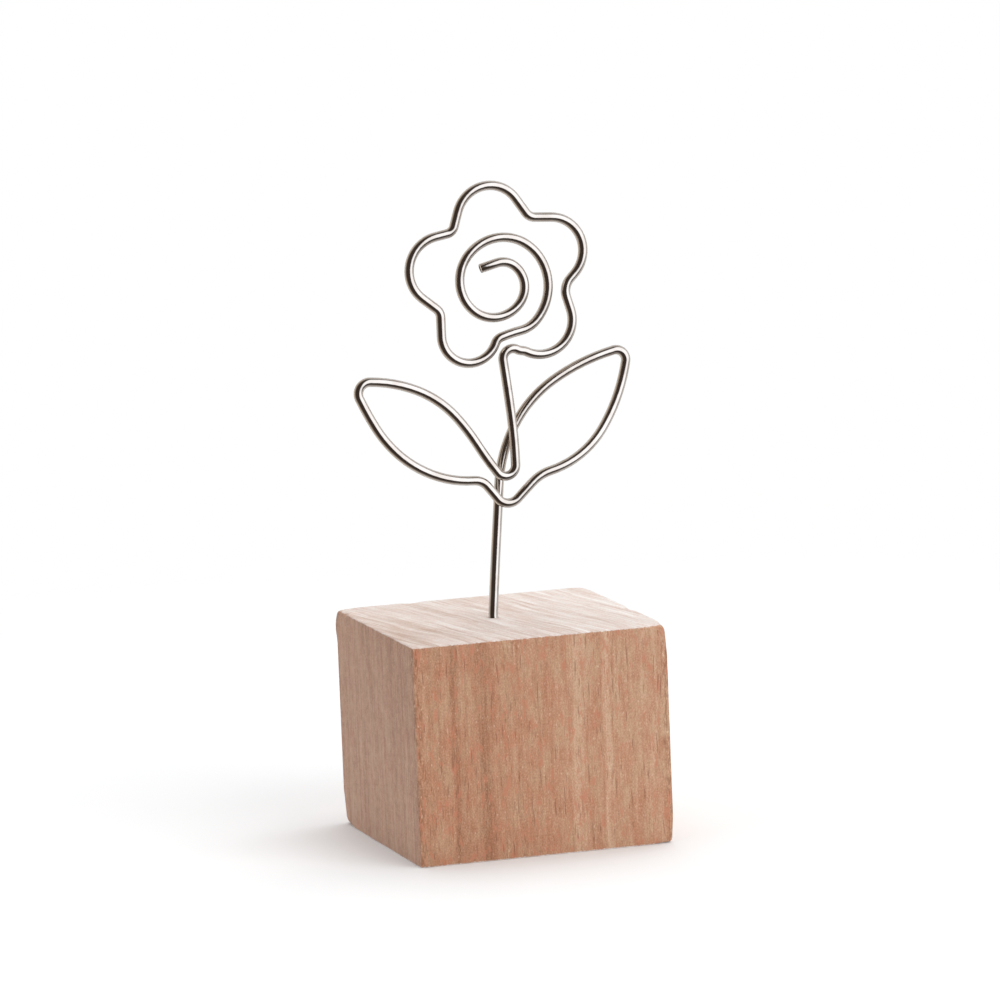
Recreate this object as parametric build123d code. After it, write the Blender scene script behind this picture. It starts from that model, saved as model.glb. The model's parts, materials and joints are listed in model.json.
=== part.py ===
from build123d import *
import math
import os
from typing import NamedTuple

# Photo block holder: a drilled wooden block and a flower bent from one round wire.
# Millimetres, +Z up, the block's front towards -Y, origin at the middle of its underside.

# Wooden block
BLOCK_WIDTH = 30.0
BLOCK_DEPTH = 30.0
BLOCK_HEIGHT = 25.0
UPRIGHT_EDGE_RADIUS = 0.4
FLAT_EDGE_RADIUS = 0.2

# Blind hole for the wire's tail, placed from the middle of the block's top, clear all round the wire
HOLE_X = -0.7
HOLE_Y = 0.0
HOLE_DEPTH = 15.0
HOLE_CLEARANCE = 0.05
DRILL_POINT_ANGLE = 118.0

# Wire, and the least gap where one stretch passes in front of another
WIRE_DIAMETER = 1.05
CROSSING_GAP = 0.45


class Bend(NamedTuple):
    """A bend of the wire round a peg of the bending jig.

    Places are right of the hole and above the block's top, and the hook's and the neck's are
    right of and above the flower's middle. Headings are in degrees: 0 runs to the right and
    90 runs up. With no radius the wire only passes the place.
    """

    right: float
    up: float
    radius: float
    heading_in: float
    heading_out: float


class Petal(NamedTuple):
    """A petal's peg: its direction and distance from the flower's middle, and its radius."""

    direction: float
    reach: float
    radius: float


class Notch(NamedTuple):
    """A smaller peg between two petals: its radius, and the straight wire on each side of it."""

    radius: float
    straight_in: float
    straight_out: float


# Rear stretch: out of the block, up the stem and along the right leaf's upper edge
HOLE_MOUTH = Bend(0.0, 0.0, 0.0, 90.0, 90.0)
STEM_FOOT = Bend(0.1, 1.6, 0.0, 85.5, 85.5)
STEM_HEAD = Bend(1.3, 15.2, 0.0, 85.0, 85.0)
RIGHT_LEAF_TOP = Bend(8.2, 26.6, 0.0, 31.0, 31.0)
RIGHT_LEAF_TIP = Bend(15.8, 28.3, 1.2, 12.0, -101.0)

# Front stretch: the foot between the leaves, the left leaf and the upper stem
RIGHT_SHOULDER = Bend(7.0, 16.5, 0.0, -167.0, -167.0)
LEAF_FOOT = Bend(1.9, 14.8, 1.6, -136.0, -233.0)
LEFT_SHOULDER = Bend(-2.1, 16.1, 0.0, 179.0, 179.0)
LEFT_LEAF_BELLY = Bend(-11.1, 20.0, 0.0, 135.0, 135.0)
LEFT_LEAF_TIP = Bend(-14.0, 27.0, 1.3, 114.0, -4.0)
LEFT_LEAF_TOP = Bend(-3.9, 23.5, 0.0, -50.0, -50.0)
TURN_UP = Bend(1.7, 17.5, 1.2, -53.0, 90.0)

# Flower: a hook under it, and five petals drawn in between them round smaller pegs
FLOWER_RIGHT = 1.7
FLOWER_UP = 38.9
HOOK = Bend(1.35, -9.25, 1.15, 97.0, -30.0)
PETALS = (
    Petal(-47.5, 7.1, 3.8),
    Petal(22.5, 6.8, 3.9),
    Petal(96.5, 6.8, 3.85),
    Petal(168.0, 6.7, 3.9),
    Petal(239.0, 7.1, 3.3),
)
NOTCHES = (
    Notch(2.05, 1.52, 0.74),
    Notch(1.35, 1.94, 2.07),
    Notch(1.1, 1.74, 1.42),
    Notch(1.3, 2.07, 2.15),
)
FIRST_PETAL_START = -118.0
LAST_PETAL_END = -42.0

# Neck from the last petal into the card grip, a flat spiral that winds inwards and ends straight
NECK = Bend(0.1, -6.7, 0.0, 18.0, 18.0)
SPIRAL_DROP = 1.1
SPIRAL_RADIUS = 5.9
SPIRAL_PITCH = 2.8
SPIRAL_START = -42.0
SPIRAL_SWEEP = 506.0
SPIRAL_END_LENGTH = 2.0

QUARTER_TURN = 90.0
HALF_TURN = 180.0
FULL_TURN = 360.0
STRAIGHT_TOLERANCE = 1e-6
MEASURE_STEP = 0.2

wire_radius = WIRE_DIAMETER / 2
hole_radius = wire_radius + HOLE_CLEARANCE
rear_y = HOLE_Y
front_y = HOLE_Y - WIRE_DIAMETER - CROSSING_GAP


def place(right, up, y):
    """Point of the wire's jig in the part's frame."""
    return Vector(HOLE_X + right, y, BLOCK_HEIGHT + up)


def on_flower(bend):
    """A bend given from the flower's middle, placed from the hole's mouth."""
    return bend._replace(right=FLOWER_RIGHT + bend.right, up=FLOWER_UP + bend.up)


def toward(degrees):
    """Unit direction in the flower's plane."""
    return Vector(math.cos(math.radians(degrees)), 0, math.sin(math.radians(degrees)))


def bearing(vector):
    """Direction of a vector in the flower's plane, in degrees."""
    return math.degrees(math.atan2(vector.Z, vector.X))


def arc_to(start, heading, end):
    """Arc that leaves start along heading and ends at end, or a line where that is straight."""
    chord = (end - start).normalized()
    if heading.cross(chord).length < STRAIGHT_TOLERANCE:
        return Line(start, end)
    return TangentArc(start, end, tangent=heading)


def biarc(start, heading, end, end_heading):
    """Two tangent arcs between two places, along the heading given at each."""
    span = end - start
    both = heading + end_heading
    spread = 2 * (1 - heading.dot(end_heading))
    along = span.dot(both)
    if spread < STRAIGHT_TOLERANCE:
        reach = span.dot(span) / (2 * along)
    else:
        reach = (math.sqrt(along**2 + spread * span.dot(span)) - along) / spread
    joint = (start + end + (heading - end_heading) * reach) / 2
    middle_heading = (end - end_heading * reach - start - heading * reach).normalized()
    return [arc_to(start, heading, joint), arc_to(joint, middle_heading, end)]


def turn(centre, radius, start_angle, sweep):
    """Circular turn about a centre, in two equal arcs."""
    shares = (0.0, 0.25, 0.5, 0.75, 1.0)
    points = [centre + toward(start_angle + sweep * share) * radius for share in shares]
    return [ThreePointArc(*points[:3]), ThreePointArc(*points[2:])]


def bend_ends(bend, y):
    """The places where the wire meets and leaves a peg, and the peg's own arcs."""
    centre = place(bend.right, bend.up, y)
    if bend.radius == 0:
        return centre, centre, []
    sweep = bend.heading_out - bend.heading_in
    start_angle = bend.heading_in - math.copysign(QUARTER_TURN, sweep)
    arcs = turn(centre, bend.radius, start_angle, sweep)
    return arcs[0] @ 0, arcs[-1] @ 1, arcs


def bend_run(bends):
    """Wire edges round a row of pegs, each given with its depth."""
    edges = []
    last_end = None
    last_heading = None
    for bend, y in bends:
        start, end, arcs = bend_ends(bend, y)
        if last_end is not None:
            edges += biarc(last_end, last_heading, start, toward(bend.heading_in))
        edges += arcs
        last_end = end
        last_heading = toward(bend.heading_out)
    return edges


def outer_place(first, first_distance, second, second_distance):
    """The place outside two petals' pegs at a given distance from each."""
    span = second - first
    outward = Vector(span.Z, 0, -span.X).normalized()
    along = (first_distance**2 - second_distance**2 + span.length**2) / (2 * span.length)
    return first + span.normalized() * along + outward * math.sqrt(first_distance**2 - along**2)


def petal_run():
    """Wire edges round the petals' pegs and, the other way round, the notches' pegs."""
    middle = place(FLOWER_RIGHT, FLOWER_UP, front_y)
    centres = [middle + toward(petal.direction) * petal.reach for petal in PETALS]
    edges = []
    angle = FIRST_PETAL_START
    for index, peg in enumerate(NOTCHES):
        petal, next_petal = PETALS[index : index + 2]
        centre, next_centre = centres[index : index + 2]
        lead_in = Vector(petal.radius + peg.radius, 0, peg.straight_in)
        lead_out = Vector(next_petal.radius + peg.radius, 0, peg.straight_out)
        notch = outer_place(centre, lead_in.length, next_centre, lead_out.length)
        leaving = bearing(notch - centre) - bearing(lead_in)
        edges += turn(centre, petal.radius, angle, (leaving - angle) % FULL_TURN)
        notch_start = leaving + HALF_TURN
        notch_end = bearing(next_centre - notch) + bearing(lead_out)
        notch_arcs = turn(notch, peg.radius, notch_start, -((notch_start - notch_end) % FULL_TURN))
        angle = notch_end + HALF_TURN
        edges.append(Line(edges[-1] @ 1, notch_arcs[0] @ 0))
        edges += notch_arcs
        edges.append(Line(notch_arcs[-1] @ 1, next_centre + toward(angle) * next_petal.radius))
    edges += turn(centres[-1], PETALS[-1].radius, angle, (LAST_PETAL_END - angle) % FULL_TURN)
    return edges


def spiral_run():
    """Wire edges of the card grip, a quarter turn at a time, ending straight."""
    step = SPIRAL_PITCH * QUARTER_TURN / FULL_TURN
    centre = place(FLOWER_RIGHT, FLOWER_UP - SPIRAL_DROP, front_y)
    radius = SPIRAL_RADIUS
    angle = SPIRAL_START
    sweep_left = SPIRAL_SWEEP
    edges = []
    while sweep_left > 0:
        sweep = min(QUARTER_TURN, sweep_left)
        edges += turn(centre, radius, angle, sweep)
        angle += sweep
        sweep_left -= sweep
        centre += toward(angle) * step
        radius -= step
    end = edges[-1] @ 1
    return edges + [Line(end, end + toward(angle + QUARTER_TURN) * SPIRAL_END_LENGTH)]


def wire_edges():
    """The wire's whole centreline, from the foot of its tail to the spiral's cut end."""
    mouth = place(HOLE_MOUTH.right, HOLE_MOUTH.up, rear_y)
    tail = [Line(mouth - Vector(0, 0, HOLE_DEPTH), mouth)]
    rear = [HOLE_MOUTH, STEM_FOOT, STEM_HEAD, RIGHT_LEAF_TOP, RIGHT_LEAF_TIP]
    front = [RIGHT_SHOULDER, LEAF_FOOT, LEFT_SHOULDER, LEFT_LEAF_BELLY]
    front += [LEFT_LEAF_TIP, LEFT_LEAF_TOP, TURN_UP, on_flower(HOOK)]
    stems = bend_run([(bend, rear_y) for bend in rear] + [(bend, front_y) for bend in front])
    petals = petal_run()
    spiral = spiral_run()
    into_petals = biarc(stems[-1] @ 1, stems[-1] % 1, petals[0] @ 0, petals[0] % 0)
    neck = on_flower(NECK)
    neck_place = place(neck.right, neck.up, front_y)
    neck_in = biarc(petals[-1] @ 1, petals[-1] % 1, neck_place, toward(neck.heading_in))
    neck_out = biarc(neck_place, toward(neck.heading_out), spiral[0] @ 0, spiral[0] % 0)
    return tail + stems + into_petals + petals + neck_in + neck_out + spiral


def least_gap(edges):
    """Least gap between stretches of the wire that aren't neighbours, measured on points."""
    samples = []
    travelled = 0.0
    for edge in edges:
        count = max(2, math.ceil(edge.length / MEASURE_STEP))
        for index in range(count):
            share = index / count
            samples.append((travelled + share * edge.length, tuple(edge @ share)))
        travelled += edge.length
    neighbour_length = 2 * math.pi * WIRE_DIAMETER
    distances = [
        math.dist(point, other)
        for index, (along, point) in enumerate(samples)
        for other_along, other in samples[index + 1 :]
        if other_along - along > neighbour_length
    ]
    return min(distances) - WIRE_DIAMETER


def make_wire():
    """The bent wire as one tube, with its measures printed."""
    edges = wire_edges()
    path = Wire(edges)
    section = Plane(origin=path @ 0, z_dir=path % 0) * Circle(wire_radius)
    tube = sweep(section, path=path)
    radii = [edge.radius for edge in path.edges() if edge.geom_type == GeomType.CIRCLE]
    print(f"wire length {path.length:.1f} mm, tightest bend radius {min(radii):.2f} mm")
    print(f"wire's least gap to itself {least_gap(edges):.2f} mm")
    print(f"wire volume {tube.volume:.2f} mm3, section times length {section.area * path.length:.2f} mm3")
    return tube


def make_block():
    """The wooden block with eased edges and its drilled hole."""
    block = Box(BLOCK_WIDTH, BLOCK_DEPTH, BLOCK_HEIGHT, align=(Align.CENTER, Align.CENTER, Align.MIN))
    block = fillet(block.edges().filter_by(Axis.Z), UPRIGHT_EDGE_RADIUS)
    faces = block.faces().sort_by(Axis.Z)
    block = fillet(faces[0].edges() + faces[-1].edges(), FLAT_EDGE_RADIUS)
    hanging = (Align.CENTER, Align.CENTER, Align.MAX)
    point_height = hole_radius / math.tan(math.radians(DRILL_POINT_ANGLE / 2))
    drill_point = Cone(0, hole_radius, point_height, align=hanging)
    drill = Cylinder(hole_radius, HOLE_DEPTH, align=hanging) + Pos(0, 0, -HOLE_DEPTH) * drill_point
    return block - Pos(HOLE_X, HOLE_Y, BLOCK_HEIGHT) * drill


os.makedirs("parts", exist_ok=True)
export_step(make_block(), "parts/wooden_block.step")
export_step(make_wire(), "parts/flower_wire.step")
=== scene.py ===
"""Looks of a photo block holder: a drilled block of sanded wood and a flower bent from bright wire."""

import json
import logging
import math
from contextlib import contextmanager
from dataclasses import dataclass, field
from enum import Enum
from typing import Any, Callable, Iterator, Mapping, Optional, Sequence, Union

import bmesh
import bpy
from mathutils import Matrix, Vector


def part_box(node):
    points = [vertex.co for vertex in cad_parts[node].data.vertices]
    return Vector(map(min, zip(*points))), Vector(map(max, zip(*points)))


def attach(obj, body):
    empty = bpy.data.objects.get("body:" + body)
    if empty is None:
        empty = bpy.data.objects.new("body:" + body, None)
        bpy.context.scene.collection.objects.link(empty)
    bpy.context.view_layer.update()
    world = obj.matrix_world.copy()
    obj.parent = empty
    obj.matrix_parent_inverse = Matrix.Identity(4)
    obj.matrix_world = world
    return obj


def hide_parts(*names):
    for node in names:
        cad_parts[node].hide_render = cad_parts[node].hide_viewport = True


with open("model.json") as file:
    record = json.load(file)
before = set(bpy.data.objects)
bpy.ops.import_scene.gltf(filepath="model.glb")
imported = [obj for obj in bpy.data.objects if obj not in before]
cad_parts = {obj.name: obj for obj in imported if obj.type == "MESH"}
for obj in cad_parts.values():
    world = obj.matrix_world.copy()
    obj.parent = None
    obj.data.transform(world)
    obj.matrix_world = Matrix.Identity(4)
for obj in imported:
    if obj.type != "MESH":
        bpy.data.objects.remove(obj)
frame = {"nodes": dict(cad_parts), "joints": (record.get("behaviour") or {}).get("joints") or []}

log = logging.getLogger("photo_block_holder")

MM = 0.001
SCREEN_WHITE = 255

Colour = tuple[float, float, float, float]
Number = Union["Value", float]


def tone(red: int, green: int, blue: int) -> Colour:
    """A shader colour from a colour as a screen shows it.

    Args:
        red: Red from 0 to 255.
        green: Green from 0 to 255.
        blue: Blue from 0 to 255.

    Returns:
        The linear colour, with full alpha.
    """
    shares = [part / SCREEN_WHITE for part in (red, green, blue)]
    # A screen's light is in proportion near black and follows a power above
    linear = [s / 12.92 if s <= 0.04045 else ((s + 0.055) / 1.055) ** 2.4 for s in shares]
    return (linear[0], linear[1], linear[2], 1.0)


class Value:
    """A shader socket that carries one number, so that sums are written as Python expressions."""

    def __init__(self, paint: "Paint", socket: bpy.types.NodeSocket) -> None:
        """Keeps the socket and the node tree that new Math nodes go to."""
        self.paint = paint
        self.socket = socket

    def _maths(self, operation: str, *terms: Number) -> "Value":
        """Adds one Math node.

        Args:
            operation: The Math node's operation.
            terms: The numbers or values that it works on, in order.

        Returns:
            The node's result.
        """
        made = self.paint.node("ShaderNodeMath", {"operation": operation}, dict(enumerate(terms)))
        return Value(self.paint, made.outputs[0])

    def __add__(self, other: Number) -> "Value":
        """This value plus another."""
        return self._maths("ADD", self, other)

    __radd__ = __add__

    def __sub__(self, other: Number) -> "Value":
        """This value less another."""
        return self._maths("SUBTRACT", self, other)

    def __rsub__(self, other: Number) -> "Value":
        """Another less this value."""
        return self._maths("SUBTRACT", other, self)

    def __mul__(self, other: Number) -> "Value":
        """This value times another."""
        return self._maths("MULTIPLY", self, other)

    __rmul__ = __mul__

    def __truediv__(self, other: Number) -> "Value":
        """This value divided by another."""
        return self._maths("DIVIDE", self, other)

    def __rtruediv__(self, other: Number) -> "Value":
        """Another divided by this value."""
        return self._maths("DIVIDE", other, self)

    def __abs__(self) -> "Value":
        """This value without its sign."""
        return self._maths("ABSOLUTE", self)

    def least(self, other: Number) -> "Value":
        """The smaller of this value and another."""
        return self._maths("MINIMUM", self, other)

    def most(self, other: Number) -> "Value":
        """The larger of this value and another."""
        return self._maths("MAXIMUM", self, other)

    def rise(self, low: float, high: float) -> "Value":
        """A smooth step of this value.

        Args:
            low: Where the step leaves 0.
            high: Where it reaches 1. Below low, the step falls instead.

        Returns:
            The step, from 0 to 1.
        """
        falls = high < low
        made = self.paint.node(
            "ShaderNodeMapRange",
            {"interpolation_type": "SMOOTHSTEP", "clamp": True},
            {
                "Value": self,
                "From Min": min(low, high),
                "From Max": max(low, high),
                "To Min": 1.0 if falls else 0.0,
                "To Max": 0.0 if falls else 1.0,
            },
        )
        return Value(self.paint, made.outputs[0])

    def share(self, full: float) -> "Value":
        """How far this value has come on its way from 0 to full, from 0 to 1."""
        made = self.paint.node("ShaderNodeMapRange", {"clamp": True}, {"Value": self / full})
        return Value(self.paint, made.outputs[0])

    def band(self, centre: float, half_width: float) -> "Value":
        """A soft band round one reading of this value, 1 at its middle and 0 from half_width on."""
        return abs(self - centre).rise(half_width, 0.0)


class Paint:
    """The node tree of one finish, and the one way that its nodes are made."""

    # What a noise reads on average
    noise_middle: float = 0.5

    def __init__(self, tree: bpy.types.NodeTree) -> None:
        """Starts from an empty tree."""
        tree.nodes.clear()
        self.tree = tree

    def node(
        self,
        kind: str,
        settings: Optional[Mapping[str, Any]] = None,
        sockets: Optional[Mapping[Union[int, str], Any]] = None,
    ) -> bpy.types.Node:
        """Adds one node.

        Args:
            kind: The node's type.
            settings: The node's own settings by name, which are set first.
            sockets: Values, links or constants by a socket's place, identifier or name.

        Returns:
            The new node.
        """
        made = self.tree.nodes.new(kind)
        for name, setting in (settings or {}).items():
            setattr(made, name, setting)
        for key, source in (sockets or {}).items():
            socket = self._socket(made, key)
            if isinstance(source, Value):
                source = source.socket
            if isinstance(source, bpy.types.NodeSocket):
                self.tree.links.new(source, socket)
            else:
                socket.default_value = source
        return made

    @staticmethod
    def _socket(made: bpy.types.Node, key: Union[int, str]) -> bpy.types.NodeSocket:
        """An input of a node by its place, its identifier or its name."""
        if isinstance(key, int):
            return made.inputs[key]
        known = {socket.identifier: socket for socket in made.inputs}
        return known[key] if key in known else made.inputs[key]

    def places(self) -> bpy.types.NodeSocket:
        """The piece's own coordinates in millimetres."""
        source = self.node("ShaderNodeTexCoord").outputs["Object"]
        made = self.node("ShaderNodeVectorMath", {"operation": "SCALE"}, {0: source, "Scale": 1 / MM})
        return made.outputs[0]

    def split(self, vector: bpy.types.NodeSocket) -> tuple[Value, Value, Value]:
        """The three parts of a vector as values."""
        made = self.node("ShaderNodeSeparateXYZ", sockets={0: vector})
        x, y, z = (Value(self, socket) for socket in made.outputs)
        return x, y, z

    def length(self, vector: bpy.types.NodeSocket) -> Value:
        """The length of a vector."""
        made = self.node("ShaderNodeVectorMath", {"operation": "LENGTH"}, {0: vector})
        return Value(self, made.outputs["Value"])

    def along(self, vector: bpy.types.NodeSocket, direction: Vector) -> Value:
        """How far a vector reaches along a direction."""
        made = self.node(
            "ShaderNodeVectorMath", {"operation": "DOT_PRODUCT"}, {0: vector, 1: tuple(direction)}
        )
        return Value(self, made.outputs["Value"])

    def join(self, x: Number, y: Number, z: Number) -> bpy.types.NodeSocket:
        """A vector from its three parts."""
        return self.node("ShaderNodeCombineXYZ", sockets={0: x, 1: y, 2: z}).outputs[0]

    def noise(self, vector: bpy.types.NodeSocket, grain: "Grain") -> Value:
        """Noise over a piece.

        Args:
            vector: The piece's coordinates in millimetres.
            grain: What the noise is like.

        Returns:
            The noise, about 0 on average.
        """
        mapped = self.node(
            "ShaderNodeMapping",
            sockets={"Vector": vector, "Location": (grain.shift,) * 3, "Scale": grain.per_mm},
        )
        made = self.node(
            "ShaderNodeTexNoise",
            sockets={
                "Vector": mapped.outputs[0],
                "Scale": 1.0,
                "Detail": grain.octaves,
                "Roughness": grain.roughness,
            },
        )
        return Value(self, made.outputs[0]) - self.noise_middle

    def mix(self, factor: Number, first: Any, second: Any) -> bpy.types.NodeSocket:
        """A colour between two others.

        Args:
            factor: 0 gives the first colour and 1 the second.
            first: A colour or a colour socket.
            second: A colour or a colour socket.

        Returns:
            The colour's socket.
        """
        made = self.node(
            "ShaderNodeMix",
            {"data_type": "RGBA"},
            {"Factor_Float": factor, "A_Color": first, "B_Color": second},
        )
        return next(socket for socket in made.outputs if socket.identifier == "Result_Color")

    def bump(
        self, height: Value, depth: float, under: Optional[bpy.types.NodeSocket] = None
    ) -> bpy.types.NodeSocket:
        """Fine relief.

        Args:
            height: The relief, from 0 to 1.
            depth: Its depth in metres.
            under: Relief that this one lies on.

        Returns:
            The normal's socket.
        """
        sockets: dict[Union[int, str], Any] = {"Height": height, "Strength": 1.0, "Distance": depth}
        if under is not None:
            sockets["Normal"] = under
        return self.node("ShaderNodeBump", sockets=sockets).outputs[0]

    def surface(self, sockets: Mapping[Union[int, str], Any]) -> None:
        """Ends a material in one shader with these sockets."""
        shader = self.node("ShaderNodeBsdfPrincipled", sockets=sockets)
        self.node("ShaderNodeOutputMaterial", sockets={"Surface": shader.outputs[0]})


def new_material(name: str) -> tuple[bpy.types.Material, Paint]:
    """An empty material and its node tree."""
    material = bpy.data.materials.new(name)
    material.use_nodes = True
    return material, Paint(material.node_tree)


class Pick(Enum):
    """What edit mode selects."""

    POINTS = (True, False, False)
    EDGES = (False, True, False)
    FACES = (False, False, True)


@contextmanager
def editing(piece: bpy.types.Object, pick: Pick) -> Iterator[None]:
    """Opens one piece in edit mode with nothing selected, and closes it again.

    Args:
        piece: The piece to shape.
        pick: What its selection is made of.

    Yields:
        Nothing: the piece is in edit mode meanwhile.
    """
    bpy.ops.object.select_all(action="DESELECT")
    piece.select_set(True)
    bpy.context.view_layer.objects.active = piece
    bpy.ops.object.mode_set(mode="EDIT")
    bpy.context.tool_settings.mesh_select_mode = pick.value
    bpy.ops.mesh.select_all(action="DESELECT")
    yield
    bpy.ops.object.mode_set(mode="OBJECT")


def choose_faces(piece: bpy.types.Object, wanted: Callable[[bmesh.types.BMFace], bool]) -> None:
    """Selects, in edit mode, just the faces that are wanted."""
    bpy.ops.mesh.select_all(action="DESELECT")
    work = bmesh.from_edit_mesh(piece.data)
    for face in work.faces:
        face.select_set(wanted(face))
    bmesh.update_edit_mesh(piece.data)


def choose_nearest_point(piece: bpy.types.Object, place: Vector) -> None:
    """Selects, in edit mode, just the point nearest to a place."""
    bpy.ops.mesh.select_all(action="DESELECT")
    work = bmesh.from_edit_mesh(piece.data)
    nearest = min(work.verts, key=lambda point: (point.co - place).length_squared)
    nearest.select_set(True)
    bmesh.update_edit_mesh(piece.data)


def finish_with(piece: bpy.types.Object, kind: str, **settings: Any) -> None:
    """Adds a modifier to a piece and applies it.

    Args:
        piece: The piece to change.
        kind: The modifier's type.
        settings: The modifier's own settings.
    """
    modifier = piece.modifiers.new(kind.lower(), kind)
    for name, setting in settings.items():
        setattr(modifier, name, setting)
    bpy.ops.object.select_all(action="DESELECT")
    piece.select_set(True)
    bpy.context.view_layer.objects.active = piece
    bpy.ops.object.modifier_apply(modifier=modifier.name)


def dress_in(piece: bpy.types.Object, material: bpy.types.Material) -> None:
    """Gives a piece one material all over."""
    piece.data.materials.clear()
    piece.data.materials.append(material)


@dataclass(frozen=True)
class Grain:
    """A noise: its grains per millimetre along X, Y and Z, its finer octaves and a shift of its own."""

    per_mm: tuple[float, float, float]
    octaves: float = 2.0
    roughness: float = 0.5
    shift: float = 0.0


@dataclass(frozen=True)
class Mark:
    """A kind of mark in the wood: its noise, the readings where it starts and is whole, its strength."""

    grain: Grain
    steps: tuple[float, float]
    strength: float = 1.0


@dataclass(frozen=True)
class Streak:
    """A band in the wood's growth rings, in millimetres from the middle of the block's front."""

    middle: float
    half_width: float


@dataclass(frozen=True)
class Cut:
    """One way of cutting the wood.

    It has its plain tone, the tone of its patches and its lightest and darkest tones. Then come the
    shares that the rings, lines, strands and fibres have in its light, and its painted shading: its
    light's change per millimetre along X, Y and Z, which paints in how light and shade fall across it.
    """

    plain: Colour
    patch: Colour
    pale: Colour
    deep: Colour
    shares: tuple[float, float, float, float]
    slope: tuple[float, float, float]


@dataclass(frozen=True)
class SandedWood:
    """Bare sanded wood whose grain stands upright and whose rings lie one behind the other along X."""

    # Tones of the three ways that it is cut, with their painted shading, and of its blushes and flecks
    # Painted shading: the front and back lighter towards +X and upwards, the flanks lighter towards the
    # back and towards the bottom, where it offsets the floor's shadow, and the sawn ends lighter towards
    # +X
    face: Cut = Cut(
        tone(191, 150, 120), tone(187, 134, 105), tone(220, 188, 160), tone(140, 95, 68),
        (0.7, 1.0, 1.0, 1.5), (0.011, 0.0, 0.003),
    )
    flank: Cut = Cut(
        tone(195, 160, 137), tone(193, 152, 132), tone(219, 190, 170), tone(144, 108, 90),
        (1.1, 1.1, 1.3, 1.4), (0.0, 0.008, -0.008),
    )
    end: Cut = Cut(
        tone(225, 212, 204), tone(223, 204, 194), tone(247, 243, 239), tone(191, 161, 144),
        (2.4, 1.8, 0.0, 1.5), (0.016, 0.0, 0.0),
    )
    salmon: Colour = tone(196, 127, 100)
    pale_fleck: Colour = tone(226, 196, 172)

    # Growth rings: their slant, how far they waver in millimetres, and their streaks
    ring_slant: float = 0.2
    waver_reach: float = 1.8
    pale_streaks: tuple[Streak, ...] = (Streak(4.2, 1.3), Streak(7.4, 0.7))
    deep_streaks: tuple[Streak, ...] = (Streak(-6.9, 1.4), Streak(-10.4, 0.7))
    streak_share: float = 0.38
    waver: Grain = Grain((0.3, 0.08, 0.1))
    rings: Grain = Grain((1.0, 0.05, 0.03), 3.0, 0.6, 7.0)
    fine_rings: Grain = Grain((3.0, 0.1, 0.05), 2.0, 0.5, 13.0)
    sheets: Grain = Grain((0.1, 1.1, 0.04), 3.0, 0.6, 51.0)

    # Upright grain, from long lines to fine fibres
    lines: Grain = Grain((3.4, 3.4, 0.14), 2.0, 0.55, 61.0)
    strands: Grain = Grain((3.4, 3.4, 0.9), 2.0, 0.55, 9.0)
    flank_strands: Grain = Grain((1.5, 1.5, 1.3), 3.0, 0.7, 71.0)
    fibres: Grain = Grain((8.0, 8.0, 4.5), 1.0, 0.5, 15.0)

    # Marks, the strands' part in the blushes, and how strong these are on the flanks
    patches: Mark = Mark(Grain((0.6, 0.6, 0.25), 3.0, 0.6, 3.0), (-0.14, 0.14))
    blushes: Mark = Mark(Grain((1.5, 1.5, 0.55), 3.0, 0.65, 31.0), (0.04, 0.18), 0.65)
    flecks: Mark = Mark(Grain((4.4, 4.4, 1.6), 1.0, 0.5, 41.0), (0.17, 0.23), 0.5)
    pores: Mark = Mark(Grain((4.4, 4.4, 0.3), 1.0, 0.5, 21.0), (0.15, 0.2), 0.55)
    strands_in_blush: float = 0.6
    flank_blush: float = 0.15

    # Upright arrises: the turn to the flank, the width of their band in millimetres, its darker broken
    # strands and its pale flecks
    flank_turn: float = 0.1
    arris_width: tuple[float, float] = (1.0, 0.5)
    arris_dark_steps: tuple[float, float] = (0.04, -0.12)
    arris_dark_share: float = 0.5
    torn_light: float = 0.6

    # Sawn ends: how deep their tone reaches in millimetres, and how far the strands fray it
    end_skin: tuple[float, float] = (0.16, 0.06)
    end_fray: float = 0.25

    # Relief and sheen
    relief: float = 0.03 * MM
    pore_relief: float = 0.03 * MM
    roughness: float = 0.7
    roughness_play: float = 0.16
    specular: float = 0.25

    def material(self, size: Vector) -> bpy.types.Material:
        """The wood as a material.

        Args:
            size: The block's width, depth and height in metres.

        Returns:
            The finished material.
        """
        material, paint = new_material("sanded_wood")
        places = paint.places()
        place = paint.split(places)
        x, y, z = place
        to_side = size.x / 2 / MM - abs(x)
        to_face = size.y / 2 / MM - abs(y)
        to_end = z.least(size.z / MM - z)

        # Rings: wavy sheets across X, which slant a little towards the front
        ring_place = x + y * self.ring_slant + paint.noise(places, self.waver) * self.waver_reach
        ring_places = paint.join(ring_place, y, z)
        rings = paint.noise(ring_places, self.rings)
        fine_rings = paint.noise(ring_places, self.fine_rings)
        sheets = paint.noise(ring_places, self.sheets)
        front_place = ring_place + size.y / 2 / MM * self.ring_slant
        streaks = self._streaks(front_place, self.pale_streaks)
        streaks = streaks - self._streaks(front_place, self.deep_streaks)

        # Upright grain: long lines, short strands, fine fibres, and pores and flecks between them
        lines = paint.noise(places, self.lines)
        strands = paint.noise(places, self.strands)
        fibres = paint.noise(places, self.fibres)
        pores = paint.noise(places, self.pores.grain).rise(*self.pores.steps)
        flecks = paint.noise(places, self.flecks.grain).rise(*self.flecks.steps)
        patches = paint.noise(places, self.patches.grain).rise(*self.patches.steps)
        broken = paint.noise(places, self.blushes.grain) + strands * self.strands_in_blush
        blushes = broken.rise(*self.blushes.steps)

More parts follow.
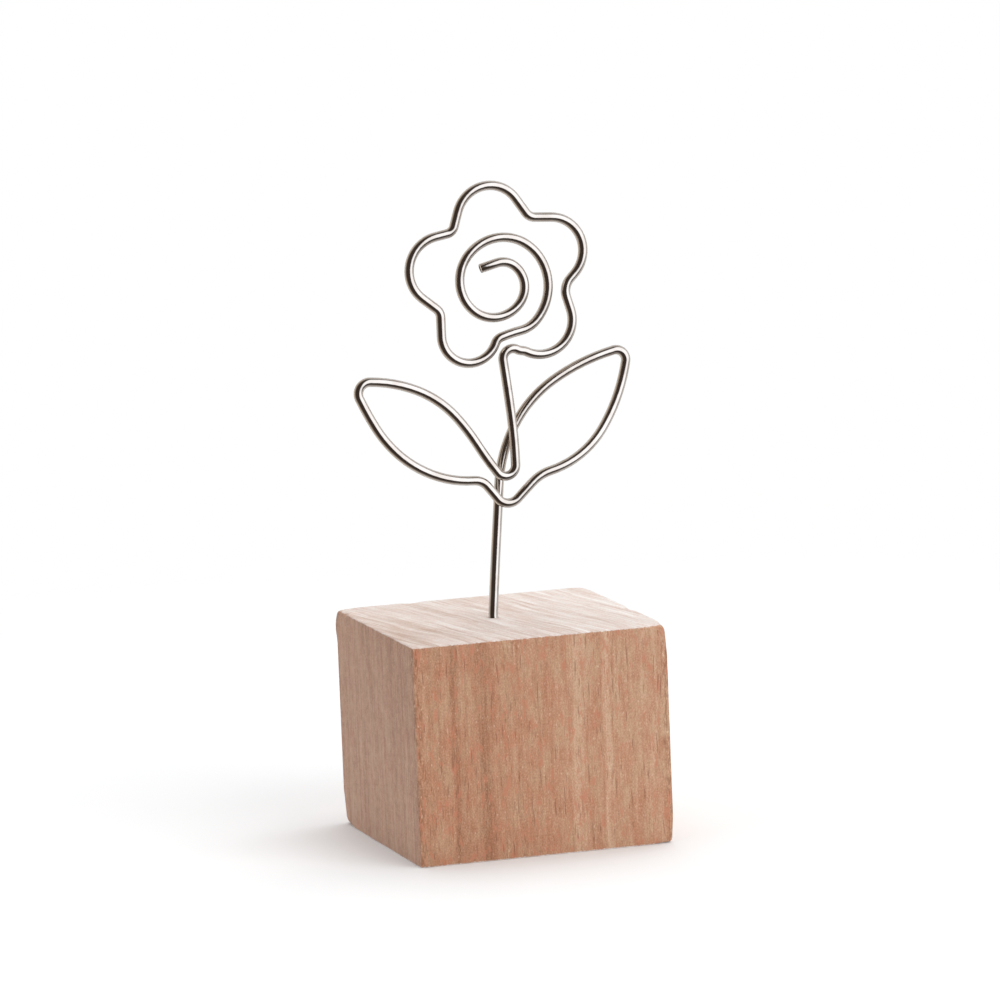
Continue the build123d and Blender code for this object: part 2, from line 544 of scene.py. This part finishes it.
        # The front and back, then the flanks, which meet along the upright arrises
        face = self._tint(paint, self.face, place, patches, (rings, lines, strands, fibres), streaks)
        face = paint.mix(blushes * self.blushes.strength, face, self.salmon)
        face = paint.mix(flecks * self.flecks.strength, face, self.pale_fleck)
        face = paint.mix(pores * self.pores.strength, face, self.face.deep)
        mottle = paint.noise(places, self.flank_strands)
        flank = self._tint(paint, self.flank, place, patches, (sheets, lines, mottle, fibres), 0.0)
        flank = paint.mix(blushes * self.flank_blush, flank, self.salmon)
        tint = paint.mix((to_face - to_side).rise(-self.flank_turn, self.flank_turn), face, flank)

        # Along the upright arrises: the tone darker in broken strands, and pale flecks of worn wood
        arris = (to_side + to_face).rise(*self.arris_width)
        arris_dark_strands = arris * strands.rise(*self.arris_dark_steps)
        tint = paint.mix(arris_dark_strands * self.arris_dark_share, tint, self.face.deep)
        tint = paint.mix(arris * flecks * self.torn_light, tint, self.pale_fleck)

        # End grain: the sawn top and underside, where the rings show as fine lines across
        end = self._tint(paint, self.end, place, patches, (rings, fine_rings, strands, fibres), 0.0)
        end_depth = to_end + strands * self.end_fray
        tint = paint.mix(end_depth.rise(*self.end_skin), tint, end)

        relief = paint.bump((strands + fibres) / 2, self.relief)
        relief = paint.bump(1 - pores, self.pore_relief, relief)
        paint.surface(
            {
                "Base Color": tint,
                "Roughness": self.roughness + strands * self.roughness_play,
                "Specular IOR Level": self.specular,
                "Normal": relief,
            }
        )
        return material

    def _tint(
        self,
        paint: Paint,
        cut: Cut,
        place: Sequence[Value],
        patches: Value,
        grains: Sequence[Value],
        streaks: Number,
    ) -> bpy.types.NodeSocket:
        """The colour of one way of cutting the wood.

        Args:
            paint: The material's nodes.
            cut: The tones and the shares of the grains.
            place: The place along X, Y and Z in millimetres.
            patches: How far a place belongs to a patch, from 0 to 1.
            grains: The rings, lines, strands and fibres.
            streaks: The streaks, below 0 for dark and above 0 for pale.

        Returns:
            The colour's socket.
        """
        light = grains[0] * cut.shares[0] + streaks * self.streak_share
        for grain, share in zip(grains[1:], cut.shares[1:]):
            light = light + grain * share
        # Painted shading: the tone lightens steadily along X, Y and Z by the cut's slope
        for part, slope in zip(place, cut.slope):
            light = light + part * slope
        tint = paint.mix(patches, cut.plain, cut.patch)
        tint = paint.mix(light.share(1.0), tint, cut.pale)
        return paint.mix(light.share(-1.0), tint, cut.deep)

    @staticmethod
    def _streaks(place: Value, streaks: Sequence[Streak]) -> Value:
        """All of a kind of streak laid together.

        Args:
            place: The place across the rings, in millimetres.
            streaks: The streaks.

        Returns:
            1 in the middle of a streak and 0 away from all of them.
        """
        bands = [place.band(streak.middle, streak.half_width) for streak in streaks]
        total = bands[0]
        for band in bands[1:]:
            total = total.most(band)
        return total


@dataclass(frozen=True)
class NickelPlate:
    """Bright nickel plate on drawn steel wire."""

    bright: Colour = tone(216, 207, 199)
    dull: Colour = tone(203, 191, 181)
    clouds: Grain = Grain((0.5, 0.5, 0.5), 3.0, 0.6, 5.0)
    speckles: Grain = Grain((1.2, 1.2, 1.2), 2.0, 0.45, 11.0)
    cloud_steps: tuple[float, float] = (-0.15, 0.2)
    roughness: float = 0.1
    roughness_play: float = 0.06
    ripple: float = 0.012 * MM

    def material(self) -> bpy.types.Material:
        """The plate as a material."""
        material, paint = new_material("nickel_plate")
        places = paint.places()
        cloud = paint.noise(places, self.clouds)
        speckle = paint.noise(places, self.speckles)
        relief = paint.bump(speckle, self.ripple)
        paint.surface(
            {
                "Base Color": paint.mix(cloud.rise(*self.cloud_steps), self.bright, self.dull),
                "Metallic": 1.0,
                "Roughness": self.roughness + speckle * self.roughness_play,
                "Normal": relief,
            }
        )
        return material


@dataclass(frozen=True)
class Dent:
    """A knock or a torn place: where it is, how far the wood moved and how wide, in millimetres."""

    place: tuple[float, float, float]
    push: tuple[float, float, float]
    reach: float


@dataclass(frozen=True)
class Corner:
    """A worn corner: the way to it from the middle, the millimetres sanded round it and the passes."""

    signs: tuple[int, int, int]
    reach: float
    passes: int


@dataclass
class WoodenBlock:
    """The drilled block that the wire stands in."""

    finish: SandedWood
    node: str = "wooden_block"
    body: str = "base"
    slot: str = "block_wood"

    # Its even division, and closer loops along the arrises
    cuts: int = 99
    arris_loops: tuple[float, ...] = (0.1 * MM, 0.2 * MM)

    # Sanding: how far in from an arris or a corner, how many passes, and how much one smooths
    arris_reach: float = 0.5 * MM
    arris_passes: int = 3
    upright_reach: float = 0.8 * MM
    upright_passes: int = 3
    corners: tuple[Corner, ...] = (
        Corner((-1, 1, 1), 2.6, 45),
        Corner((-1, 1, -1), 4.0, 100),
        Corner((1, -1, 1), 3.4, 70),
        Corner((1, -1, -1), 3.0, 60),
        Corner((-1, -1, 1), 1.2, 6),
        Corner((-1, -1, -1), 1.2, 6),
        Corner((1, 1, 1), 2.0, 18),
        Corner((1, 1, -1), 2.0, 18),
    )
    sanding: float = 0.5

    # The roughness left on the arrises, stretched along the grain
    ragged_grain: float = 0.9
    ragged_stretch: float = 4.0
    ragged_depth: float = 0.02 * MM

    # The hole, its crushed rim and its drill, whose level faces are its two ends
    hole_radius: float = 0.575 * MM
    hole_depth: float = 15.0 * MM
    drill_point_angle: float = math.radians(118)
    rim_depth: float = 0.1 * MM
    rim_width: float = 0.07 * MM
    drill_sides: int = 48
    level: float = 0.9

    # Knocks on the arrises and corners
    dents: tuple[Dent, ...] = (
        Dent((-15.0, 15.0, 23.3), (-0.17, 0.0, 0.0), 2.2),
        Dent((-15.0, 11.4, 25.0), (0.35, 0.0, -0.35), 0.6),
        Dent((6.1, -15.0, 24.8), (0.0, 0.2, -0.08), 0.8),
        Dent((-15.0, -15.0, 23.4), (0.13, 0.13, 0.0), 1.0),
        Dent((-15.0, -15.0, 9.0), (0.08, 0.09, 0.0), 1.6),
        Dent((-4.0, -15.0, 25.0), (0.0, 0.08, -0.08), 1.6),
        Dent((15.0, -2.0, 25.0), (-0.13, 0.0, -0.1), 1.9),
        Dent((15.0, 15.0, 12.0), (-0.1, -0.1, 0.0), 2.0),
        Dent((-6.0, 15.0, 25.0), (0.0, -0.12, -0.09), 1.6),
    )

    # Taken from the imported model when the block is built
    size: Vector = field(init=False)
    middle: Vector = field(init=False)

    def build(self) -> bpy.types.Object:
        """Models the block where its CAD node is.

        Returns:
            The block as one mesh.
        """
        low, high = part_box(self.node)
        self.size = high - low
        self.middle = (high + low) / 2
        bpy.ops.object.select_all(action="DESELECT")
        bpy.ops.mesh.primitive_cube_add(size=1.0, location=self.middle, scale=self.size)
        block = bpy.context.active_object
        block.name = "sanded_block"
        bpy.ops.object.transform_apply(location=True, rotation=True, scale=True)
        self._cut_loops(block, low, high)
        self._ease(block)
        self._knock(block)
        self._drill(block)
        bpy.ops.object.shade_smooth()
        return block

    def _cut_loops(self, block: bpy.types.Object, low: Vector, high: Vector) -> None:
        """Divides the block evenly, and more closely along its arrises.

        Args:
            block: The block.
            low: Its lowest corner.
            high: Its highest corner.
        """
        with editing(block, Pick.FACES):
            bpy.ops.mesh.select_all(action="SELECT")
            bpy.ops.mesh.subdivide(number_cuts=self.cuts)
            for axis in range(3):
                normal = Vector(1.0 if axis == other else 0.0 for other in range(3))
                for inset in self.arris_loops:
                    for place in (low + normal * inset, high - normal * inset):
                        bpy.ops.mesh.select_all(action="SELECT")
                        bpy.ops.mesh.bisect(plane_co=place, plane_no=normal)

    def _insets(self, place: Vector) -> list[float]:
        """How far a place lies from the nearest face along each axis."""
        half = self.size / 2
        return [half[axis] - abs(place[axis] - self.middle[axis]) for axis in range(3)]

    def _weigh(self, block: bpy.types.Object, name: str, weight: Callable[[Vector], float]) -> str:
        """Marks part of the block for a modifier.

        Args:
            block: The block.
            name: The mark's name.
            weight: How strongly a place is marked.

        Returns:
            The mark's name.
        """
        group = block.vertex_groups.new(name=name)
        for point in block.data.vertices:
            share = weight(point.co)
            if share > 0:
                group.add([point.index], share, "REPLACE")
        return name

    def _sand(self, block: bpy.types.Object, mark: str, passes: int) -> None:
        """Smooths the marked part of the block."""
        finish_with(block, "SMOOTH", factor=self.sanding, iterations=passes, vertex_group=mark)

    def _ease(self, block: bpy.types.Object) -> None:
        """Sands the arrises, the upright ones and the corners more so, and leaves them a bit ragged."""
        arrises = self._weigh(
            block, "arrises", lambda place: float(sorted(self._insets(place))[1] < self.arris_reach)
        )
        uprights = self._weigh(
            block, "uprights", lambda place: float(max(self._insets(place)[:2]) < self.upright_reach)
        )
        self._sand(block, uprights, self.upright_passes)
        for number, corner in enumerate(self.corners):
            tip = self.middle + self.size / 2 * Vector(corner.signs)
            reach = corner.reach * MM
            worn = self._weigh(
                block, f"corner_{number}", lambda place: max(0.0, 1 - (place - tip).length / reach)
            )
            self._sand(block, worn, corner.passes)
        self._sand(block, arrises, self.arris_passes)
        grain = bpy.data.textures.new("ragged_grain", "CLOUDS")
        grain.noise_scale = self.ragged_grain
        bpy.ops.object.empty_add(location=(0.0, 0.0, 0.0))
        ruler = bpy.context.active_object
        ruler.scale = Vector((1.0, 1.0, self.ragged_stretch)) * MM
        bpy.context.view_layer.update()
        finish_with(
            block,
            "DISPLACE",
            texture=grain,
            texture_coords="OBJECT",
            texture_coords_object=ruler,
            strength=self.ragged_depth,
            mid_level=1.0,
            vertex_group=arrises,
        )
        bpy.data.objects.remove(ruler)

    def _knock(self, block: bpy.types.Object) -> None:
        """Pushes in the block's knocks and pulls out its torn corner."""
        with editing(block, Pick.POINTS):
            for dent in self.dents:
                choose_nearest_point(block, Vector(dent.place) * MM)
                bpy.ops.transform.translate(
                    value=Vector(dent.push) * MM,
                    use_proportional_edit=True,
                    proportional_edit_falloff="SMOOTH",
                    proportional_size=dent.reach * MM,
                )

    def _drill(self, block: bpy.types.Object) -> None:
        """Drills the blind hole, with the drill's pointed bottom and a crushed rim."""
        swivel = frame["joints"][0]
        mouth = Vector(swivel["pos_m"])
        barrel_top = mouth.z - self.rim_depth
        barrel_low = mouth.z - self.hole_depth
        bpy.ops.object.select_all(action="DESELECT")
        bpy.ops.mesh.primitive_cylinder_add(
            vertices=self.drill_sides,
            radius=self.hole_radius,
            depth=barrel_top - barrel_low,
            location=(mouth.x, mouth.y, (barrel_top + barrel_low) / 2),
        )
        drill = bpy.context.active_object
        bpy.ops.object.transform_apply(location=True, rotation=True, scale=True)
        point_height = self.hole_radius / math.tan(self.drill_point_angle / 2)
        flare = 1 + self.rim_width / self.hole_radius
        dip = {"value": (0.0, 0.0, -point_height)}
        lift = {"value": (0.0, 0.0, self.rim_depth)}
        with editing(drill, Pick.FACES):
            choose_faces(drill, lambda face: face.normal.z < -self.level)
            bpy.ops.mesh.extrude_region_move(TRANSFORM_OT_translate=dip)
            bpy.ops.mesh.merge(type="CENTER")
            choose_faces(drill, lambda face: face.normal.z > self.level)
            bpy.ops.mesh.extrude_region_move(TRANSFORM_OT_translate=lift)
            bpy.ops.transform.resize(value=(flare, flare, 1.0), center_override=tuple(mouth))
            bpy.ops.mesh.extrude_region_move(TRANSFORM_OT_translate=lift)
        finish_with(block, "BOOLEAN", operation="DIFFERENCE", solver="EXACT", object=drill)
        bpy.data.objects.remove(drill)

    def dress(self, block: bpy.types.Object) -> None:
        """Gives the block its wood and its place on the frame, out of the wire's reflections."""
        dress_in(block, self.finish.material(self.size))
        block.visible_glossy = False
        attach(block, self.body)
        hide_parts(self.node)


@dataclass
class FlowerWire:
    """The one wire that makes the stem, the leaves, the petals and the card's spiral grip."""

    finish: NickelPlate
    node: str = "flower_wire"
    body: str = "flower"
    slot: str = "wire_nickel"
    weld_distance: float = 0.0005 * MM
    rim_angle: float = math.radians(60)
    rim_width: float = 0.06 * MM
    rim_steps: int = 2

    def build(self) -> bpy.types.Object:
        """Models the wire on its CAD node's own line.

        Returns:
            The wire as one mesh.
        """
        wire = bpy.data.objects.new("bent_wire", frame["nodes"][self.node].data.copy())
        bpy.context.scene.collection.objects.link(wire)
        with editing(wire, Pick.EDGES):
            bpy.ops.mesh.select_all(action="SELECT")
            bpy.ops.mesh.customdata_custom_splitnormals_clear()
            bpy.ops.mesh.remove_doubles(threshold=self.weld_distance)
            bpy.ops.mesh.tris_convert_to_quads()
            bpy.ops.mesh.select_all(action="DESELECT")
            bpy.ops.mesh.edges_select_sharp(sharpness=self.rim_angle)
            bpy.ops.mesh.bevel(offset=self.rim_width, segments=self.rim_steps, affect="EDGES")
        bpy.ops.object.shade_smooth()
        return wire

    def dress(self, wire: bpy.types.Object) -> None:
        """Gives the wire its plate and its place on the frame."""
        dress_in(wire, self.finish.material())
        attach(wire, self.body)
        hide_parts(self.node)


@dataclass(frozen=True)
class SoftBox:
    """A soft lamp: where it stands, how wide it is, and its light on the middle of the object."""

    name: str
    place: tuple[float, float, float]
    width: float
    light: float
    colour: tuple[float, float, float] = (1.0, 1.0, 1.0)

    def hang(self, target: Vector) -> None:
        """Hangs the lamp and turns it to the object.

        Args:
            target: What the lamp points at.
        """
        place = Vector(self.place)
        reach = target - place
        turn = reach.to_track_quat("-Z", "Y").to_euler()
        bpy.ops.object.light_add(type="AREA", location=place, rotation=turn)
        lamp = bpy.context.active_object
        lamp.name = self.name
        lamp.visible_glossy = False
        lamp.data.size = self.width
        lamp.data.color = self.colour
        # A white surface that faces the lamp shows its power over pi squared and the distance squared
        lamp.data.energy = self.light * math.pi**2 * reach.length_squared


@dataclass(frozen=True)
class Studio:
    """A plain pale floor, soft lamps and the camera at the photograph's angle."""

    # The camera's place in metres, its turn, dip and roll, and its lens in millimetres
    camera_place: tuple[float, float, float] = (-0.2551, -0.8167, 0.1692)
    camera_turn: float = math.radians(-17.388)
    camera_dip: float = math.radians(8.69)
    camera_roll: float = math.radians(-2.287)
    lens: float = 274.46
    sensor: float = 36.0

    # The floor, which fades out between two distances in millimetres
    floor_width: float = 6.0
    floor_colour: Colour = (0.93, 0.93, 0.93, 1.0)
    floor_fade: tuple[float, float] = (90.0, 200.0)

    # The light all round: an even fill, and for the metal a lit panel, a pale sweep and a dark room
    fill: Colour = (0.42, 0.42, 0.42, 1.0)
    panel_turn: float = math.radians(55)
    panel_climb: float = math.radians(16.5)
    panel_reach: tuple[float, float] = (0.94, 0.84)
    panel_edge: float = 0.4
    panel_front: tuple[float, float] = (0.0, 0.1)
    panel_glow: Colour = (1.54, 1.63, 1.75, 1.0)
    sweep_start: tuple[float, float] = (0.55, -0.9)
    rear_gap: tuple[float, float] = (-0.72, -0.93)
    dark_room: Colour = (0.056, 0.043, 0.035, 1.0)
    warm_sweep: Colour = (1.0, 0.93, 0.83, 1.0)
    warm_start: tuple[float, float] = (0.2, -0.5)
    white: Colour = (1.0, 1.0, 1.0, 1.0)

    # The lamps and what they point at
    target: tuple[float, float, float] = (0.0, 0.0, 0.03)
    lamps: tuple[SoftBox, ...] = (
        SoftBox("front_softbox", (0.325, -0.626, 0.41), 0.6, 0.42),
        SoftBox("top_softbox", (0.16, 0.2, 0.79), 0.8, 0.75),
        SoftBox("left_fill", (-0.8, -0.1, 0.3), 0.6, 0.17, (0.85, 0.93, 1.0)),
    )

    def camera_axes(self) -> tuple[Vector, Vector, Vector]:
        """The camera's right, up and backward directions, before its roll."""
        back = Vector(
            (
                math.sin(self.camera_turn) * math.cos(self.camera_dip),
                -math.cos(self.camera_turn) * math.cos(self.camera_dip),
                math.sin(self.camera_dip),
            )
        )
        right = Vector((0.0, 0.0, 1.0)).cross(back).normalized()
        return right, back.cross(right), back

    def build(self) -> None:
        """Makes the floor, the surroundings, the lamps and the camera."""
        bpy.context.scene.view_settings.view_transform = "Standard"
        self._floor()
        self._surroundings()
        for lamp in self.lamps:
            lamp.hang(Vector(self.target))
        self._camera()

    def _floor(self) -> None:
        """Lays the floor, which keeps the object's shadow."""
        bpy.ops.object.select_all(action="DESELECT")
        bpy.ops.mesh.primitive_plane_add(size=self.floor_width)
        floor = bpy.context.active_object
        floor.name = "floor"
        floor.visible_glossy = False
        material, paint = new_material("pale_floor")
        shader = paint.node("ShaderNodeBsdfDiffuse", sockets={"Color": self.floor_colour})
        clear = paint.node("ShaderNodeBsdfTransparent")
        faded = paint.length(paint.places()).rise(*self.floor_fade)
        mixed = paint.node(
            "ShaderNodeMixShader", sockets={0: faded, 1: shader.outputs[0], 2: clear.outputs[0]}
        )
        paint.node("ShaderNodeOutputMaterial", sockets={"Surface": mixed.outputs[0]})
        dress_in(floor, material)

    def _surroundings(self) -> None:
        """Sets a white room for the eye, a studio of light and dark for the metal, and an even fill."""
        world = bpy.data.worlds.new("white_studio")
        bpy.context.scene.world = world
        world.use_nodes = True
        paint = Paint(world.node_tree)
        right, up, back = self.camera_axes()
        sight = paint.node("ShaderNodeTexCoord").outputs["Generated"]

        # A lit oval panel, beside the camera and a little above it
        ahead = back * math.cos(self.panel_turn) + right * math.sin(self.panel_turn)
        ahead = ahead * math.cos(self.panel_climb) + up * math.sin(self.panel_climb)
        aside = right * math.cos(self.panel_turn) - back * math.sin(self.panel_turn)
        depth = paint.along(sight, ahead)
        wide = paint.along(sight, aside) / depth / self.panel_reach[0]
        tall = paint.along(sight, ahead.cross(aside)) / depth / self.panel_reach[1]
        oval = (wide * wide + tall * tall).rise(1 + self.panel_edge, 1 - self.panel_edge)
        panel = oval * depth.rise(*self.panel_front)

        # A room that is dark in front, with a pale sweep round the back and a dark gap in its middle
        toward = paint.along(sight, back)
        across = paint.along(sight, right)
        backdrop = paint.mix(across.rise(*self.warm_start), self.white, self.warm_sweep)
        room = paint.mix(toward.rise(*self.sweep_start), self.dark_room, backdrop)
        room = paint.mix(toward.rise(*self.rear_gap), room, self.dark_room)
        studio = paint.mix(panel, room, self.panel_glow)

        # The metal sees that studio, the eye sees white, and the rest is lit by an even fill
        path = paint.node("ShaderNodeLightPath")
        light = paint.mix(Value(paint, path.outputs["Is Glossy Ray"]), self.fill, studio)
        light = paint.mix(Value(paint, path.outputs["Is Camera Ray"]), light, self.white)
        background = paint.node("ShaderNodeBackground", sockets={"Color": light, "Strength": 1.0})
        paint.node("ShaderNodeOutputWorld", sockets={"Surface": background.outputs[0]})

    def _camera(self) -> None:
        """Stands the camera where the photograph was taken from."""
        right, up, back = self.camera_axes()
        rolled_right = right * math.cos(self.camera_roll) + up * math.sin(self.camera_roll)
        rolled_up = up * math.cos(self.camera_roll) - right * math.sin(self.camera_roll)
        turned = Matrix((rolled_right, rolled_up, back)).transposed()
        bpy.ops.object.camera_add(location=self.camera_place, rotation=turned.to_euler())
        camera = bpy.context.active_object
        camera.data.sensor_fit = "HORIZONTAL"
        camera.data.sensor_width = self.sensor
        camera.data.lens = self.lens
        bpy.context.scene.camera = camera


def plain(box: Sequence[Sequence[float]]) -> list[list[float]]:
    """A box's two corners as plain lists of numbers."""
    return [[float(part) for part in corner] for corner in box]


def main() -> None:
    """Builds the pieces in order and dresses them."""
    logging.basicConfig(level=logging.INFO, format="%(message)s")
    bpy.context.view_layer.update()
    for assembly in (WoodenBlock(SandedWood()), FlowerWire(NickelPlate())):
        piece = assembly.build()
        assembly.dress(piece)
        log.info("%s: %d faces, rides on %s", piece.name, len(piece.data.polygons), assembly.body)
    Studio().build()


if __name__ == "__main__":
    main()
